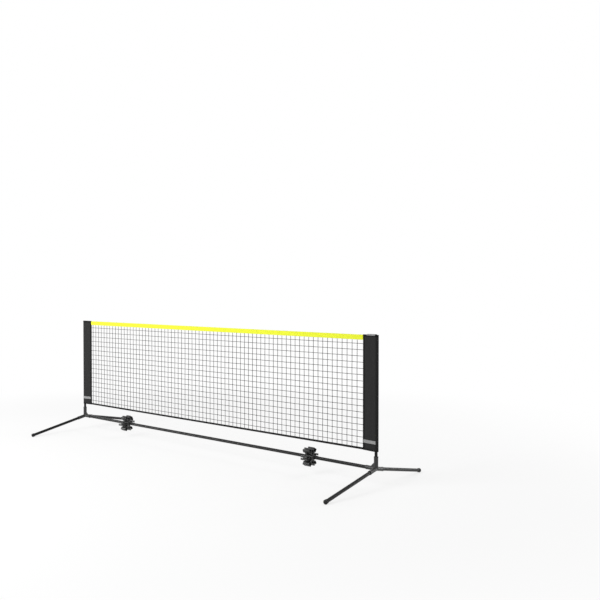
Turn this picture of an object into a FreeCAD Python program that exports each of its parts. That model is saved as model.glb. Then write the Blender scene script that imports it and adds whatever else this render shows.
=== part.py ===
import FreeCAD, Part
import os
import Sketcher
from FreeCAD import Placement, Rotation, Vector

# Portable net on a free-standing frame, millimetres.
# X runs along the ground bar, Y across it and Z up. The origin is on the floor,
# midway between the two posts. The net is shown at its lowest setting.

os.makedirs("parts", exist_ok=True)
doc = FreeCAD.newDocument("NetOnPoles")

# Driving dimensions

driving_dimensions = [
    ("pole_span", 3000, "distance between the axes of the two posts"),
    ("leg_reach", 524, "connector centre to the outer end of a foot, along the leg"),
    ("leg_slope", 11.1, "fall of a leg below the horizontal, degrees"),
    ("leg_diameter", 22, "leg tube"),
    ("leg_wall", 1.0, "wall of the leg tube"),
    ("bar_diameter", 22, "ground bar tube"),
    ("bar_wall", 1.0, "wall of the ground bar tube"),
    ("post_diameter", 19, "lower, outer tube of a post"),
    ("post_wall", 1.2, "wall of the lower tube"),
    ("post_length", 545, "length of the lower tube"),
    ("slider_wall", 1.0, "wall of the upper tube"),
    ("slide_clearance", 0.1, "radial running clearance of the upper tube in the lower"),
    ("push_clearance", 0.1, "radial clearance of a tube pushed into a socket"),
    ("seat_clearance", 0.3, "gap where a moving piece seats on another"),
    ("socket_reach", 72, "connector centre to the mouth of a leg or bar socket"),
    ("socket_wall", 2.0, "wall of the leg and bar sockets"),
    ("socket_floor", 16, "connector centre to the bottom of every socket"),
    ("mast_socket_height", 75, "ground bar axis to the top of the post socket"),
    ("mast_socket_wall", 4.0, "wall of the post socket"),
    ("gusset_size", 35, "both legs of the triangular web"),
    ("gusset_thickness", 8, "thickness of the web"),
    ("foot_length", 24, "length of a rubber foot"),
    ("foot_wall", 2.2, "wall of a rubber foot"),
    ("foot_floor", 5, "closed end of a rubber foot"),
    ("foot_flat", 1.5, "depth of the flat under a foot"),
    ("left_hub_offset", 928, "centre of the ground bar to the left storage hub"),
    ("right_hub_offset", 980, "centre of the ground bar to the right storage hub"),
    ("hub_depth", 52, "storage hub along the bar"),
    ("hub_core_wall", 3.7, "wall of the hub's sleeve on the bar"),
    ("hub_collar", 16, "sleeve beyond the hub's right face"),
    ("clip_count", 6, "pole clips round a hub"),
    ("clip_circle", 47.5, "bar axis to the axis of a clip"),
    ("clip_clearance", 0.3, "radial clearance of a stored tube in a clip"),
    ("clip_wall", 3.6, "wall of a clip"),
    ("clip_mouth", 14, "width of a clip's mouth"),
    ("clip_web", 9, "thickness of the web behind a clip"),
    ("ferrule_length", 120, "splice inside the middle of the ground bar"),
    ("ferrule_wall", 1.2, "wall of the splice"),
    ("slider_foot", 48, "ground bar axis to the lower end of the upper tube"),
    ("lock_plug_depth", 20, "length of the lock plug inside the upper tube"),
    ("lock_flange", 3, "thickness of the lock plug's flange"),
    ("lock_post_radius", 3, "radius of the eccentric post"),
    ("lock_offset", 0.9, "offset of the eccentric post"),
    ("lock_height", 18, "height of the locking cam"),
    ("lock_radius", 7.4, "radius of the locking cam"),
    ("lock_turn", 58, "turn of the cam from released to locked, degrees"),
    ("lock_head_radius", 5, "radius of the head that keeps the cam on"),
    ("lock_head", 2, "thickness of that head"),
    ("top_plug_depth", 18, "length of the top plug inside the upper tube"),
    ("top_plug_head", 6, "height of the top plug's head"),
    ("net_height", 713, "top of the tape to the bottom of the hem"),
    ("net_bottom", 217, "floor to the bottom of the hem at the lowest setting"),
    ("sleeve_width", 112, "width of a fabric side sleeve"),
    ("sleeve_overhang", 16, "post axis to the outer edge of a sleeve"),
    ("sleeve_panel", 5, "thickness of a sleeve at its edge on the net"),
    ("sleeve_outer_edge", 3, "thickness of a sleeve at its outer edge"),
    ("pocket_radius", 10.6, "inside radius of a sleeve round its post"),
    ("pocket_fabric", 2, "fabric of a sleeve"),
    ("sleeve_lid", 3, "closed top of a sleeve"),
    ("tape_height", 34, "top tape"),
    ("tape_thickness", 6, "thickness of the top tape"),
    ("headline_diameter", 3.4, "cord inside the top tape"),
    ("headline_clearance", 0.2, "radial clearance of that cord"),
    ("headline_drop", 5, "top of the tape to the axis of that cord"),
    ("hem_height", 12, "bottom hem"),
    ("hem_thickness", 4, "thickness of the bottom hem"),
    ("mesh_thread", 2.6, "width of a net thread"),
    ("mesh_thickness", 2, "thickness of the net"),
    ("mesh_columns", 33, "gaps along the net"),
    ("mesh_rows", 9, "gaps up the net"),
    ("label_width", 88, "plain sewn patch"),
    ("label_height", 20, "height of the patch"),
    ("label_thickness", 1, "thickness of the patch"),
    ("label_rise", 55, "bottom of a sleeve to the middle of the patch"),
    ("left_label_middle", 41, "post axis to the middle of the left patch"),
    ("right_label_middle", 46, "post axis to the middle of the right patch"),
]

sheet = doc.addObject("Spreadsheet::Sheet", "Sizes")
for row, (alias, value, meaning) in enumerate(driving_dimensions, start=1):
    sheet.set("A%d" % row, alias)
    sheet.set("B%d" % row, str(value))
    sheet.set("C%d" % row, meaning)
    sheet.setAlias("B%d" % row, alias)
doc.recompute()


def size(alias):
    """The number that the sheet holds under an alias."""
    return float(sheet.get(alias))


# Sizes that several pieces share, written with the sheet's names

leg_radius = "Sizes.leg_diameter / 2"
bar_radius = "Sizes.bar_diameter / 2"
post_radius = "Sizes.post_diameter / 2"
slider_radius = "(Sizes.post_diameter / 2 - Sizes.post_wall - Sizes.slide_clearance)"
slider_bore = "(Sizes.post_diameter / 2 - Sizes.post_wall - Sizes.slide_clearance - Sizes.slider_wall)"
foot_radius = "(Sizes.leg_diameter / 2 + Sizes.push_clearance + Sizes.foot_wall)"
bar_height = ("(Sizes.leg_reach * sin(Sizes.leg_slope * 1 deg)"
              " + (Sizes.leg_diameter / 2 + Sizes.push_clearance + Sizes.foot_wall)"
              " * cos(Sizes.leg_slope * 1 deg) - Sizes.foot_flat)")
half_span = "Sizes.pole_span / 2"
post_foot = "(" + bar_height + " + Sizes.socket_floor)"
slider_start = "(" + bar_height + " + Sizes.slider_foot)"
net_top = "(Sizes.net_bottom + Sizes.net_height)"
slider_top = "(" + net_top + " - Sizes.sleeve_lid - Sizes.seat_clearance - Sizes.top_plug_head)"
sleeve_edge = "(Sizes.pole_span / 2 + Sizes.sleeve_overhang - Sizes.sleeve_width)"
sleeve_reach = "(Sizes.sleeve_width - Sizes.sleeve_overhang)"
sleeve_round = "(Sizes.pocket_radius + Sizes.pocket_fabric)"
inner_slope = "((" + sleeve_round + " - Sizes.sleeve_panel / 2) / " + sleeve_reach + ")"
inner_level = "sqrt(1 - pow(" + inner_slope + "; 2))"

nodes = []


def bind(target, **expressions):
    """Ties properties of an object to expressions on the sheet."""
    for path, expression in expressions.items():
        target.setExpression(path, expression)


def place(target, x="0", y="0", z="0", axis=Vector(0, 0, 1), angle="0", start_angle=0.0):
    """Puts an object at a place and a turn that follow the sheet."""
    target.Placement = Placement(Vector(), Rotation(axis, start_angle))
    target.setExpression("Placement.Base.x", x)
    target.setExpression("Placement.Base.y", y)
    target.setExpression("Placement.Base.z", z)
    if start_angle:
        target.setExpression("Placement.Rotation.Angle", angle)


def keep(target, label):
    """Names an object as one of the assembly's pieces."""
    target.Label = label
    nodes.append(target)
    return target


def origin_plane(body, role):
    """One of the body's own origin planes."""
    for feature in body.Origin.OriginFeatures:
        if feature.Role == role:
            return feature


def section(body, name):
    """A sketch attached to the body's own XY plane."""
    sketch = body.newObject("Sketcher::SketchObject", name)
    sketch.AttachmentSupport = [(origin_plane(body, "XY_Plane"), "")]
    sketch.MapMode = "FlatFace"
    return sketch


def circle(sketch, radius, x=None, name="radius"):
    """A circle on the sketch's X axis, or at its origin, with a tied radius."""
    index = sketch.addGeometry(Part.Circle(Vector(1 if x else 0, 0, 0), Vector(0, 0, 1), 1))
    if x:
        sketch.addConstraint(Sketcher.Constraint("PointOnObject", index, 3, -1))
        across = sketch.addConstraint(Sketcher.Constraint("DistanceX", -1, 1, index, 3, 1))
        sketch.renameConstraint(across, name + "_x")
        sketch.setExpression("Constraints." + name + "_x", x)
    else:
        sketch.addConstraint(Sketcher.Constraint("Coincident", index, 3, -1, 1))
    tied = sketch.addConstraint(Sketcher.Constraint("Radius", index, 1))
    sketch.renameConstraint(tied, name)
    sketch.setExpression("Constraints." + name, radius)


def rectangle(sketch, x_from, x_to, half_width):
    """A rectangle along the sketch's X axis, centred across it."""
    corners = [Vector(1, -1, 0), Vector(2, -1, 0), Vector(2, 1, 0), Vector(1, 1, 0)]
    first = sketch.GeometryCount
    for start in range(4):
        sketch.addGeometry(Part.LineSegment(corners[start], corners[(start + 1) % 4]))
    for line in range(4):
        following = first + (line + 1) % 4
        sketch.addConstraint(Sketcher.Constraint("Coincident", first + line, 2, following, 1))
    sketch.addConstraint(Sketcher.Constraint("Horizontal", first))
    sketch.addConstraint(Sketcher.Constraint("Vertical", first + 1))
    sketch.addConstraint(Sketcher.Constraint("Horizontal", first + 2))
    sketch.addConstraint(Sketcher.Constraint("Symmetric", first, 1, first + 3, 1, -1))
    near = sketch.addConstraint(Sketcher.Constraint("DistanceX", -1, 1, first, 1, 1))
    far = sketch.addConstraint(Sketcher.Constraint("DistanceX", -1, 1, first, 2, 2))
    tall = sketch.addConstraint(Sketcher.Constraint("DistanceY", first, 2, first + 1, 2, 2))
    for index, name, expression in ((near, "near", x_from), (far, "far", x_to),
                                    (tall, "tall", "2 * (" + half_width + ")")):
        sketch.renameConstraint(index, name)
        sketch.setExpression("Constraints." + name, expression)


def pad(body, sketch, length):
    """Pads a sketch along the body's Z axis."""
    feature = body.newObject("PartDesign::Pad", sketch.Name + "_pad")
    feature.Profile = sketch
    bind(feature, Length=length)
    sketch.Visibility = False
    return feature


def tube(label, radius, wall, length):
    """A round tube standing on the body's own XY plane."""
    body = doc.addObject("PartDesign::Body", label)
    ring = section(body, label + "_section")
    circle(ring, radius, name="outer")
    circle(ring, "(" + radius + ") - (" + wall + ")", name="inner")
    pad(body, ring, length)
    return keep(body, label)


def cylinder(radius, height, **where):
    """A plain cylinder primitive along its own Z axis."""
    solid = doc.addObject("Part::Cylinder", "Cylinder")
    bind(solid, Radius=radius, Height=height)
    place(solid, **where)
    return solid


def block(length, width, height, **where):
    """A plain box primitive from its own corner."""
    solid = doc.addObject("Part::Box", "Block")
    bind(solid, Length=length, Width=width, Height=height)
    place(solid, **where)
    return solid


def wedge(near, near_half, far, far_half, height, x, direction):
    """A wedge that runs along X between two half thicknesses, standing at the net's bottom."""
    solid = doc.addObject("Part::Wedge", "Wedge")
    bind(solid, Ymin=near, Xmin="-(%s)" % near_half, Xmax=near_half, Zmin="0", Zmax=height,
         Ymax=far, X2min="-(%s)" % far_half, X2max=far_half, Z2min="0", Z2max=height)
    place(solid, x=x, z="Sizes.net_bottom",
          angle="%d * 90" % -direction, start_angle=-90.0 * direction)
    return solid


def fuse(name, shapes):
    """One solid out of several."""
    joined = doc.addObject("Part::MultiFuse", name)
    joined.Shapes = shapes
    joined.Refine = True
    return joined


def cut(name, base, tools):
    """A solid with the tools taken out of it."""
    result = doc.addObject("Part::Cut", name)
    result.Base = base
    result.Tool = tools[0] if len(tools) == 1 else fuse(name + "_tools", tools)
    result.Refine = True
    return result


x_axis = Vector(1, 0, 0)
y_axis = Vector(0, 1, 0)


def along_leg(distance, side, front):
    """Place and turn of a leg's axis at a distance from the connector's centre."""
    turn = "-(90 + Sizes.leg_slope)" if front > 0 else "(90 + Sizes.leg_slope)"
    return {
        "x": "%d * %s" % (side, half_span),
        "y": "%d * (%s) * cos(Sizes.leg_slope * 1 deg)" % (front, distance),
        "z": "%s - (%s) * sin(Sizes.leg_slope * 1 deg)" % (bar_height, distance),
        "axis": x_axis,
        "angle": turn,
        "start_angle": -100.0 if front > 0 else 100.0,
    }


def along_bar(x, direction):
    """Place and turn of the ground bar's axis, running towards +X or -X."""
    return {
        "x": x,
        "z": bar_height,
        "axis": y_axis,
        "angle": "%d * 90" % direction,
        "start_angle": 90.0 * direction,
    }


# Corner connectors: sockets for the post, the bar and two legs, with a web between

def corner_connector(label, side):
    socket_radius = "(%s + Sizes.push_clearance + Sizes.socket_wall)" % bar_radius
    leg_socket = "(%s + Sizes.push_clearance + Sizes.socket_wall)" % leg_radius
    mast_radius = "(%s + Sizes.push_clearance + Sizes.mast_socket_wall)" % post_radius
    post_x = "%d * %s" % (side, half_span)
    inward = along_bar(post_x, -side)
    centre = doc.addObject("Part::Sphere", "Knuckle")
    bind(centre, Radius="max(%s; %s)" % (socket_radius, leg_socket))
    place(centre, x=post_x, z=bar_height)
    walls = [
        centre,
        cylinder(mast_radius, "Sizes.mast_socket_height", x=post_x, z=bar_height),
        cylinder(socket_radius, "Sizes.socket_reach", **inward),
        cylinder(leg_socket, "Sizes.socket_reach", **along_leg("0", side, 1)),
        cylinder(leg_socket, "Sizes.socket_reach", **along_leg("0", side, -1)),
    ]
    web = doc.addObject("Part::Prism", "Web")
    web.Polygon = 4
    web_reach = "(%s + Sizes.gusset_size)" % mast_radius
    bind(web, Circumradius=web_reach, Height="Sizes.gusset_thickness")
    place(web, x=post_x, y="Sizes.gusset_thickness / 2", z=bar_height + " + Sizes.socket_wall",
          axis=x_axis, angle="90", start_angle=90.0)
    inner_side = block(web_reach, "Sizes.gusset_thickness", web_reach,
                       x=post_x + (" - " + web_reach if side > 0 else ""),
                       y="-Sizes.gusset_thickness / 2", z=bar_height)
    gusset = doc.addObject("Part::Common", "Gusset")
    gusset.Base = web
    gusset.Tool = inner_side
    walls.append(gusset)
    bores = [
        cylinder("%s + Sizes.push_clearance" % post_radius, "Sizes.mast_socket_height",
                 x=post_x, z=post_foot),
        cylinder("%s + Sizes.push_clearance" % bar_radius, "Sizes.socket_reach",
                 **along_bar("%s - %d * Sizes.socket_floor" % (post_x, side), -side)),
        cylinder("%s + Sizes.push_clearance" % leg_radius, "Sizes.socket_reach",
                 **along_leg("Sizes.socket_floor", side, 1)),
        cylinder("%s + Sizes.push_clearance" % leg_radius, "Sizes.socket_reach",
                 **along_leg("Sizes.socket_floor", side, -1)),
    ]
    return keep(cut(label, fuse(label + "_walls", walls), bores), label)


# Rubber feet: cups over the leg ends, cut flat where they stand

def rubber_foot(label, side, front):
    start = "Sizes.leg_reach - Sizes.foot_length"
    body = cylinder(foot_radius, "Sizes.foot_length", **along_leg(start, side, front))
    bore = cylinder("%s + Sizes.push_clearance" % leg_radius,
                    "Sizes.foot_length - Sizes.foot_floor", **along_leg(start, side, front))
    below = block("4 * " + foot_radius, "2 * Sizes.foot_length", "Sizes.leg_diameter",
                  x="%d * %s - 2 * %s" % (side, half_span, foot_radius),
                  y="%d * Sizes.leg_reach - Sizes.foot_length" % front,
                  z="-Sizes.leg_diameter")
    return keep(cut(label, body, [bore, below]), label)


# Storage hubs: a sleeve on the bar with outward clips for the packed tubes

def storage_hub(label, x):
    body = doc.addObject("PartDesign::Body", label)
    core_radius = "%s + Sizes.push_clearance + Sizes.hub_core_wall" % bar_radius
    clip_bore = "Sizes.leg_diameter / 2 + Sizes.clip_clearance"
    core = section(body, label + "_core")
    circle(core, core_radius)
    pad(body, core, "Sizes.hub_depth + Sizes.hub_collar")

    arm = section(body, label + "_arm")
    rectangle(arm, "Sizes.bar_diameter / 2", "Sizes.clip_circle - Sizes.leg_diameter / 2",
              "Sizes.clip_web / 2")
    arm_pad = pad(body, arm, "Sizes.hub_depth")
    ring = section(body, label + "_clip")
    circle(ring, clip_bore + " + Sizes.clip_wall", x="Sizes.clip_circle")
    ring_pad = pad(body, ring, "Sizes.hub_depth")
    bore = section(body, label + "_clip_bore")
    circle(bore, clip_bore, x="Sizes.clip_circle")
    bore_pocket = pocket_through(body, bore)
    mouth = section(body, label + "_clip_mouth")
    rectangle(mouth, "Sizes.clip_circle", "Sizes.clip_circle + Sizes.leg_diameter",
              "Sizes.clip_mouth / 2")
    mouth_pocket = pocket_through(body, mouth)
    around = body.newObject("PartDesign::PolarPattern", label + "_clips")
    around.Originals = [arm_pad, ring_pad, bore_pocket, mouth_pocket]
    around.Axis = (core, ["N_Axis"])
    around.Angle = 360
    bind(around, Occurrences="Sizes.clip_count")
    body.Tip = around

    hole = section(body, label + "_bar_bore")
    circle(hole, "%s + Sizes.push_clearance" % bar_radius)
    pocket_through(body, hole)
    place(body, x=x + " - Sizes.hub_depth / 2", z=bar_height,
          axis=Vector(1, 1, 1), angle="120", start_angle=120.0)
    return keep(body, label)


def pocket_through(body, sketch):
    """A pocket right through, both ways from the sketch."""
    feature = body.newObject("PartDesign::Pocket", sketch.Name + "_pocket")
    feature.Profile = sketch
    feature.Type = "ThroughAll"
    feature.Midplane = True
    sketch.Visibility = False
    return feature


# Upper tube of a post with the twist lock in its foot and the plug in its top

def lock_plug(label, post_x):
    inside = cylinder(slider_bore + " - Sizes.push_clearance", "Sizes.lock_plug_depth",
                      x=post_x, z=slider_start)
    flange = cylinder(slider_radius, "Sizes.lock_flange",
                      x=post_x, z=slider_start + " - Sizes.lock_flange")
    room = "(Sizes.lock_height + 2 * Sizes.seat_clearance)"
    post_z = "%s - Sizes.lock_flange - %s" % (slider_start, room)
    eccentric = cylinder("Sizes.lock_post_radius", room,
                         x=post_x, y="Sizes.lock_offset", z=post_z)
    head = cylinder("Sizes.lock_head_radius", "Sizes.lock_head",
                    x=post_x, y="Sizes.lock_offset", z=post_z + " - Sizes.lock_head")
    return keep(fuse(label, [inside, flange, eccentric, head]), label)


def lock_cam(label, post_x):
    start = "%s - Sizes.lock_flange - Sizes.seat_clearance - Sizes.lock_height" % slider_start
    swing_x = "Sizes.lock_offset * sin(Sizes.lock_turn * 1 deg)"
    swing_y = "Sizes.lock_offset * (1 - cos(Sizes.lock_turn * 1 deg))"
    disc = cylinder("Sizes.lock_radius", "Sizes.lock_height",
                    x="%s - %s" % (post_x, swing_x), y=swing_y, z=start)
    hole = cylinder("Sizes.lock_post_radius + Sizes.slide_clearance", "Sizes.lock_height",
                    x=post_x, y="Sizes.lock_offset", z=start)
    return keep(cut(label, disc, [hole]), label)


def top_plug(label, post_x):
    inside = cylinder(slider_bore + " - Sizes.push_clearance", "Sizes.top_plug_depth",
                      x=post_x, z=slider_top + " - Sizes.top_plug_depth")
    head = cylinder(slider_radius, "Sizes.top_plug_head", x=post_x, z=slider_top)
    return keep(fuse(label, [inside, head]), label)


# Fabric side sleeves: round the post, then flat down to the net and to the outer edge

def side_sleeve(label, side):
    post_x = "%d * %s" % (side, half_span)
    outer_round = "(Sizes.sleeve_outer_edge / 2)"
    outer_reach = "(Sizes.sleeve_overhang - %s)" % outer_round
    outer_slope = "((%s - %s) / %s)" % (sleeve_round, outer_round, outer_reach)
    outer_level = "sqrt(1 - pow(%s; 2))" % outer_slope
    cloth = [
        cylinder(sleeve_round, "Sizes.net_height", x=post_x, z="Sizes.net_bottom"),
        wedge("%s * %s" % (sleeve_round, inner_slope), "%s * %s" % (sleeve_round, inner_level),
              sleeve_reach, "Sizes.sleeve_panel / 2 / " + inner_level,
              "Sizes.net_height", post_x, -side),
        wedge("%s * %s" % (sleeve_round, outer_slope), "%s * %s" % (sleeve_round, outer_level),
              "%s + %s * %s" % (outer_reach, outer_round, outer_slope),
              "%s * %s" % (outer_round, outer_level), "Sizes.net_height", post_x, side),
        cylinder(outer_round, "Sizes.net_height",
                 x="%s + %d * %s" % (post_x, side, outer_reach), z="Sizes.net_bottom"),
    ]
    inside_height = "Sizes.net_height - Sizes.sleeve_lid"
    inside = [
        cylinder("Sizes.pocket_radius", inside_height, x=post_x, z="Sizes.net_bottom"),
        wedge("Sizes.pocket_radius * " + inner_slope, "Sizes.pocket_radius * " + inner_level,
              sleeve_reach + " - Sizes.pocket_fabric",
              "(Sizes.sleeve_panel / 2 - Sizes.pocket_fabric * (1 - %s)) / %s"
              % (inner_slope, inner_level), inside_height, post_x, -side),
    ]
    return keep(cut(label, fuse(label + "_cloth", cloth), inside), label)


# Plain patches, flat on the front slope of a sleeve

def label_patch(label, side, middle):
    patch = block("Sizes.label_width", "Sizes.label_thickness", "Sizes.label_height",
                  x="%d * (%s - %s - Sizes.label_thickness * %s) - Sizes.label_width / 2 * %s"
                  % (side, half_span, middle, inner_slope, inner_level),
                  y="(%s * %s - %s) / %s + %d * Sizes.label_width / 2 * %s"
                  " - Sizes.label_thickness * %s"
                  % (inner_slope, middle, sleeve_round, inner_level, side, inner_slope,
                     inner_level),
                  z="Sizes.net_bottom + Sizes.label_rise - Sizes.label_height / 2",
                  angle="%d * asin(%s)" % (-side, inner_slope), start_angle=-6.0 * side)
    return keep(patch, label)


# Net: one holed face, thickened

def net_mesh(label):
    half_length = size("pole_span") / 2 + size("sleeve_overhang") - size("sleeve_width")
    low = size("net_bottom") + size("hem_height")
    high = size("net_bottom") + size("net_height") - size("tape_height")
    columns = int(size("mesh_columns"))
    rows = int(size("mesh_rows"))
    thread = size("mesh_thread")
    thickness = size("mesh_thickness")
    pitch_x = (2 * half_length - thread) / columns
    pitch_z = (high - low - thread) / rows

    def outline(x_from, x_to, z_from, z_to):
        y = -thickness / 2
        corners = [Vector(x_from, y, z_from), Vector(x_to, y, z_from),
                   Vector(x_to, y, z_to), Vector(x_from, y, z_to)]
        return Part.makePolygon(corners + corners[:1])

    wires = [outline(-half_length, half_length, low, high)]
    for column in range(columns):
        for row in range(rows):
            x = -half_length + thread + column * pitch_x
            z = low + thread + row * pitch_z
            wires.append(outline(x, x + pitch_x - thread, z, z + pitch_z - thread))
    face = Part.makeFace(wires, "Part::FaceMakerBullseye")
    mesh = doc.addObject("Part::Feature", label)
    mesh.Shape = face.extrude(Vector(0, thickness, 0))
    mesh.Placement = Placement()
    return keep(mesh, label)


for side, name in ((-1, "left"), (1, "right")):
    post_x = "%d * %s" % (side, half_span)
    corner_connector(name + "_corner_connector", side)
    for front, facing in ((-1, "front"), (1, "rear")):
        leg = tube("%s_%s_leg" % (name, facing), leg_radius, "Sizes.leg_wall",
                   "Sizes.leg_reach - Sizes.foot_floor - Sizes.socket_floor - Sizes.seat_clearance")
        place(leg, **along_leg("Sizes.socket_floor", side, front))
        rubber_foot("%s_%s_foot" % (name, facing), side, front)

    post = tube(name + "_lower_post", post_radius, "Sizes.post_wall", "Sizes.post_length")
    place(post, x=post_x, z=post_foot)
    slider = tube(name + "_upper_post", slider_radius, "Sizes.slider_wall",
                  "%s - %s" % (slider_top, slider_start))
    place(slider, x=post_x, z=slider_start)
    lock_plug(name + "_lock_plug", post_x)
    lock_cam(name + "_lock_cam", post_x)
    top_plug(name + "_top_plug", post_x)
    side_sleeve(name + "_side_sleeve", side)
    label_patch(name + "_label_patch", side, "Sizes.%s_label_middle" % name)

    hub_offset = "Sizes.%s_hub_offset" % name
    storage_hub(name + "_storage_hub", "%d * %s" % (side, hub_offset))
    end_bar = tube(name + "_end_bar", bar_radius, "Sizes.bar_wall",
                   "%s - Sizes.socket_floor - %s" % (half_span, hub_offset))
    place(end_bar, **along_bar("%d * %s" % (side, hub_offset), side))
    middle_bar = tube(name + "_middle_bar", bar_radius, "Sizes.bar_wall", hub_offset)
    place(middle_bar, **along_bar("0", side))

ferrule = tube("bar_ferrule", "Sizes.bar_diameter / 2 - Sizes.bar_wall - Sizes.push_clearance",
               "Sizes.ferrule_wall", "Sizes.ferrule_length")
place(ferrule, **along_bar("-Sizes.ferrule_length / 2", 1))

net_mesh("net_mesh")
tape_band = block("2 * " + sleeve_edge, "Sizes.tape_thickness", "Sizes.tape_height",
                  x="-" + sleeve_edge, y="-Sizes.tape_thickness / 2",
                  z=net_top + " - Sizes.tape_height")
headline_run = {
    "x": "-" + sleeve_edge,
    "z": net_top + " - Sizes.headline_drop",
    "axis": y_axis,
    "angle": "90",
    "start_angle": 90.0,
}
tunnel = cylinder("Sizes.headline_diameter / 2 + Sizes.headline_clearance", "2 * " + sleeve_edge,
                  **headline_run)
keep(cut("top_tape", tape_band, [tunnel]), "top_tape")
headline = cylinder("Sizes.headline_diameter / 2", "2 * " + sleeve_edge, **headline_run)
keep(headline, "headline_cord")
hem = block("2 * " + sleeve_edge, "Sizes.hem_thickness", "Sizes.hem_height",
            x="-" + sleeve_edge, y="-Sizes.hem_thickness / 2", z="Sizes.net_bottom")
keep(hem, "bottom_hem")

doc.recompute()

for item in doc.Objects:
    if "Invalid" in item.State or "Error" in item.State:
        raise RuntimeError("%s failed: %s" % (item.Label, item.State))
for node in nodes:
    if node.Shape.isNull() or not node.Shape.isValid() or node.Shape.Volume <= 0:
        raise RuntimeError("%s has no sound shape" % node.Label)

for node in nodes:
    node.Shape.exportStep("parts/%s.step" % node.Label)
box = FreeCAD.BoundBox()
for node in nodes:
    box.add(node.Shape.BoundBox)
    print("%-24s %2d solid(s) %10.1f mm3" % (node.Label, len(node.Shape.Solids), node.Shape.Volume))
print("%d nodes, box %.1f x %.1f x %.1f, lowest %.2f" % (
    len(nodes), box.XLength, box.YLength, box.ZLength, box.ZMin))
print("ground bar axis %.2f above the floor" % doc.getObject("bar_ferrule").Placement.Base.z)
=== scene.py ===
import math
import random

import bmesh
import bpy
from mathutils import Matrix, Vector, noise


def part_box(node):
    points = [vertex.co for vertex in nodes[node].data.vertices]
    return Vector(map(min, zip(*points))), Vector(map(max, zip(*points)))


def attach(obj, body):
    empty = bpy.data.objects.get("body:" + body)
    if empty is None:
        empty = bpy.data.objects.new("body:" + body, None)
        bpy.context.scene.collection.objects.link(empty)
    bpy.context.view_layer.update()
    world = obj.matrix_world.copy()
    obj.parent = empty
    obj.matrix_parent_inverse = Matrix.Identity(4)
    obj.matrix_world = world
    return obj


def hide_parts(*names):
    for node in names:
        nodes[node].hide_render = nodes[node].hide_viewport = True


print("stage 1: the packed frame")
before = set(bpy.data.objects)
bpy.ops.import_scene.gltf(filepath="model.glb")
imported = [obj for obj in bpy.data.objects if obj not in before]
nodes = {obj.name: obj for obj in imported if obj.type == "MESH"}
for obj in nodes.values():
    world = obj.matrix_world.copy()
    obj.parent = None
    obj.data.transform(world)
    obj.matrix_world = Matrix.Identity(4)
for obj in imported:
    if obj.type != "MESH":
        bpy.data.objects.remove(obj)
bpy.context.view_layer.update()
random.seed(7)

# What the pieces share, in metres
net = {
    "postX": 1.5,
    "innerEdge": 1.404,          # where the mesh, tape and hem meet the sleeves
    "bottom": 0.217,
    "top": 0.930,
    "tapeHeight": 0.034,
    "hemHeight": 0.0132,
}


# Camera

view = {
    "place": (4.169, -3.970, 1.227),
    "down": 1.02,
    "turn": 40.95,
    "lens": 46.86,
    "shift": 0.0333,
}
cameraData = bpy.data.cameras.new("viewCamera")
cameraData.sensor_width = 36
cameraData.lens = view["lens"]
cameraData.shift_x = view["shift"]
camera = bpy.data.objects.new("viewCamera", cameraData)
camera.location = view["place"]
camera.rotation_euler = (math.radians(90 - view["down"]), 0, math.radians(view["turn"]))
bpy.context.scene.collection.objects.link(camera)
bpy.context.scene.camera = camera


# Shader expressions

class Signal:                                     # one socket of a node tree
    def __init__(self, maker, socket):
        self.maker = maker
        self.socket = socket

    def of(self, output):                         # another output of the same node
        return Signal(self.maker, self.socket.node.outputs[output])

    def math(self, operation, first, second=0.0, clamp=False):
        settings = {"operation": operation, "use_clamp": clamp}
        return self.maker.node("ShaderNodeMath", settings, {0: first, 1: second})

    def __add__(self, other):
        return self.math("ADD", self, other)

    __radd__ = __add__

    def __sub__(self, other):
        return self.math("SUBTRACT", self, other)

    def __rsub__(self, other):
        return self.math("SUBTRACT", other, self)

    def __mul__(self, other):
        return self.math("MULTIPLY", self, other)

    __rmul__ = __mul__

    def wave(self, pitch):                        # a sine of that wavelength
        return self.math("SINE", self * (2 * math.pi / pitch))

    def clamped(self):
        return self.math("ADD", self, 0.0, clamp=True)

    def span(self, low, high):                    # 0 below low, 1 above high
        sockets = {"Value": self, "From Min": low, "From Max": high}
        return self.maker.node("ShaderNodeMapRange", {"interpolation_type": "SMOOTHSTEP"}, sockets)


class Finish:                                     # a material and the way to its nodes
    def __init__(self, name, tree=None, **constants):
        if tree is None:
            self.material = bpy.data.materials.new(name)
            self.material.use_nodes = True
            tree = self.material.node_tree
            self.shader = tree.nodes["Principled BSDF"]
            for socket, value in constants.items():
                self.shader.inputs[socket].default_value = value
        self.tree = tree

    def node(self, kind, settings=None, sockets=None, output=0):
        made = self.tree.nodes.new(kind)
        for name, value in (settings or {}).items():
            setattr(made, name, value)
        for name, value in (sockets or {}).items():
            if isinstance(value, Signal):
                self.tree.links.new(value.socket, made.inputs[name])
            else:
                made.inputs[name].default_value = value
        return Signal(self, made.outputs[output])

    def place(self, stretch=(1, 1, 1), output="Object"):
        coordinates = self.node("ShaderNodeTexCoord", output=output)
        return self.node("ShaderNodeMapping", None, {"Vector": coordinates, "Scale": stretch})

    def axis(self, where, name):
        return self.node("ShaderNodeSeparateXYZ", None, {"Vector": where}, output=name)

    def noise(self, where, scale, detail=2.0, roughness=0.5):
        sockets = {"Vector": where, "Scale": scale, "Detail": detail, "Roughness": roughness}
        return self.node("ShaderNodeTexNoise", None, sockets)

    def mix(self, factor, first, second):
        settings = {"data_type": "RGBA", "clamp_factor": True}
        return self.node("ShaderNodeMix", settings, {0: factor, 6: first, 7: second}, output=2)

    def feed(self, **signals):
        for socket, signal in signals.items():
            self.tree.links.new(signal.socket, self.shader.inputs[socket.replace("_", " ")])

    def bump(self, height, distance):
        sockets = {"Height": height, "Distance": distance, "Strength": 1.0}
        return self.node("ShaderNodeBump", None, sockets)


def rgb(red, green, blue):
    return (red, green, blue, 1.0)


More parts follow.
